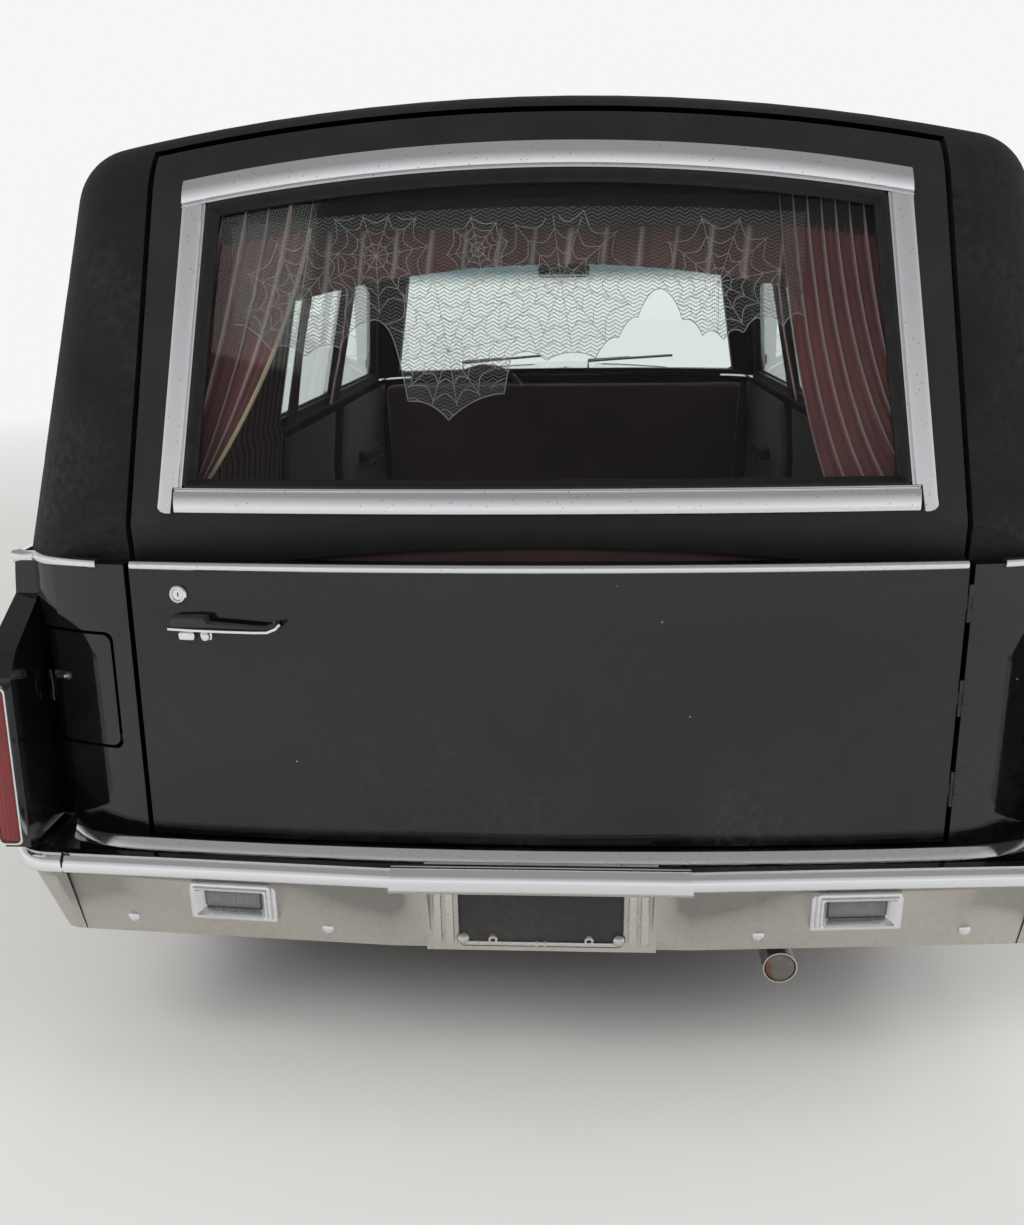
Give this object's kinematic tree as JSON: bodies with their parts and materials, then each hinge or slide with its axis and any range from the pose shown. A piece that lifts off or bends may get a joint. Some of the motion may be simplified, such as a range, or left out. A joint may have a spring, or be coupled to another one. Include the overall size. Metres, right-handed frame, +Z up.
{
  "type": "hearse",
  "caption": "Long 1970s hearse with a closed vinyl upper body, chrome-framed tail window, side-hinged tail door, roller deck, steering front wheels and opening doors and hood.",
  "frame": {"origin": "on the ground at the middle of the car's length and width", "axes": "+Y forward, +Z up, +X to the car's right"},
  "size_m": [2.0334, 6.4, 1.8298],
  "materials": {
    "paint_black": "deep gloss black enamel",
    "vinyl_black": "matte grained vinyl cloth glued to the upper body",
    "chrome": "bright plating, lightly pitted",
    "glass_clear": "clear glass",
    "lens_red": "red lens",
    "lens_clear": "clear ribbed lens",
    "plate_blank": "blank enamel",
    "floor_mat": "dark carpet on steel",
    "deck_laminate": "varnished deck board",
    "bright_steel": "bright steel rails and rollers",
    "trim_black": "soft black moulding",
    "seat_cloth": "maroon cloth",
    "chassis_black": "flat black chassis paint",
    "cast_engine": "engine paint, oily",
    "bare_steel": "dull steel",
    "rim_paint": "satin black wheel",
    "tyre": "worn rubber"
  },
  "bodies": {
    "body": {"body_lower": "paint_black", "body_upper": "vinyl_black", "fender_left": "paint_black", "fender_right": "paint_black", "nose": "paint_black", "headlamps": "lens_clear", "grille": "chrome", "bumper_rear": "chrome", "backup_lamps": "lens_clear", "plate": "plate_blank", "bumper_front": "chrome", "tail_lamps": "lens_red", "landau_irons": "chrome", "windshield": "glass_clear", "floor": "floor_mat", "load_deck": "deck_laminate", "casket_rails": "bright_steel", "dash": "trim_black", "steering_wheel": "trim_black", "seat": "seat_cloth", "frame": "chassis_black", "crossmembers": "chassis_black", "engine": "cast_engine", "radiator": "chassis_black", "axle_rear": "chassis_black", "springs": "chassis_black", "suspension_front": "chassis_black", "exhaust": "bare_steel", "fuel_tank": "chassis_black"},
    "tail_door": {"door_tail": "paint_black", "tail_glass": "glass_clear", "tail_frame": "chrome", "tail_handle": "chrome"},
    "front_door_right": {"door_front_right": "paint_black", "glass_front_right": "glass_clear"},
    "front_door_left": {"door_front_left": "paint_black", "glass_front_left": "glass_clear"},
    "side_door_right": {"door_side_right": "paint_black", "glass_side_right": "glass_clear"},
    "side_door_left": {"door_side_left": "paint_black", "glass_side_left": "glass_clear"},
    "hood_lid": {"hood": "paint_black"},
    "fuel_door": {"fuel_flap": "paint_black"},
    "steering_knuckle_right": {"knuckle_right": "bare_steel"},
    "steering_knuckle_left": {"knuckle_left": "bare_steel"},
    "wheel_front_right": {"rim_front_right": "rim_paint", "tyre_front_right": "tyre"},
    "wheel_front_left": {"rim_front_left": "rim_paint", "tyre_front_left": "tyre"},
    "wheel_rear_right": {"rim_rear_right": "rim_paint", "tyre_rear_right": "tyre"},
    "wheel_rear_left": {"rim_rear_left": "rim_paint", "tyre_rear_left": "tyre"}
  },
  "joints": [
    {"name": "tail_door_hinge", "type": "hinge", "parent": "body", "child": "tail_door", "pos_m": [0.74, -3.05726, 0.76], "axis": [0, 0.0698, 0.9976], "range_deg": [0, 100]},
    {"name": "front_door_right_hinge", "type": "hinge", "parent": "body", "child": "front_door_right", "pos_m": [1.013, 1.124, 0.64], "axis": [0, 0, 1], "range_deg": [0, 70]},
    {"name": "front_door_left_hinge", "type": "hinge", "parent": "body", "child": "front_door_left", "pos_m": [-1.013, 1.124, 0.64], "axis": [0, 0, -1], "range_deg": [0, 70]},
    {"name": "side_door_right_hinge", "type": "hinge", "parent": "body", "child": "side_door_right", "pos_m": [1.013, -0.184, 0.64], "axis": [0, 0, 1], "range_deg": [0, 70]},
    {"name": "side_door_left_hinge", "type": "hinge", "parent": "body", "child": "side_door_left", "pos_m": [-1.013, -0.184, 0.64], "axis": [0, 0, -1], "range_deg": [0, 70]},
    {"name": "hood_hinge", "type": "hinge", "parent": "body", "child": "hood_lid", "pos_m": [0, 1.295, 1.0375], "axis": [1, 0, 0], "range_deg": [0, 50]},
    {"name": "fuel_flap_hinge", "type": "hinge", "parent": "body", "child": "fuel_door", "pos_m": [-0.925, -3.00163, 0.76], "axis": [0, -0.0698, -0.9976], "range_deg": [0, 70]},
    {"name": "steer_right", "type": "hinge", "parent": "body", "child": "steering_knuckle_right", "pos_m": [0.69, 2.23, 0.365], "axis": [0, 0, 1], "range_deg": [-35, 35]},
    {"name": "wheel_front_right_spin", "type": "hinge", "parent": "steering_knuckle_right", "child": "wheel_front_right", "pos_m": [0.8, 2.23, 0.365], "axis": [1, 0, 0], "continuous": true},
    {"name": "wheel_rear_right_spin", "type": "hinge", "parent": "body", "child": "wheel_rear_right", "pos_m": [0.8, -1.77, 0.365], "axis": [1, 0, 0], "continuous": true},
    {"name": "steer_left", "type": "hinge", "parent": "body", "child": "steering_knuckle_left", "pos_m": [-0.69, 2.23, 0.365], "axis": [0, 0, 1], "range_deg": [-35, 35]},
    {"name": "wheel_front_left_spin", "type": "hinge", "parent": "steering_knuckle_left", "child": "wheel_front_left", "pos_m": [-0.8, 2.23, 0.365], "axis": [1, 0, 0], "continuous": true},
    {"name": "wheel_rear_left_spin", "type": "hinge", "parent": "body", "child": "wheel_rear_left", "pos_m": [-0.8, -1.77, 0.365], "axis": [1, 0, 0], "continuous": true}
  ],
  "couplings": [
    {"joint": "steer_right", "follows": "steer_left", "ratio": 1}
  ]
}
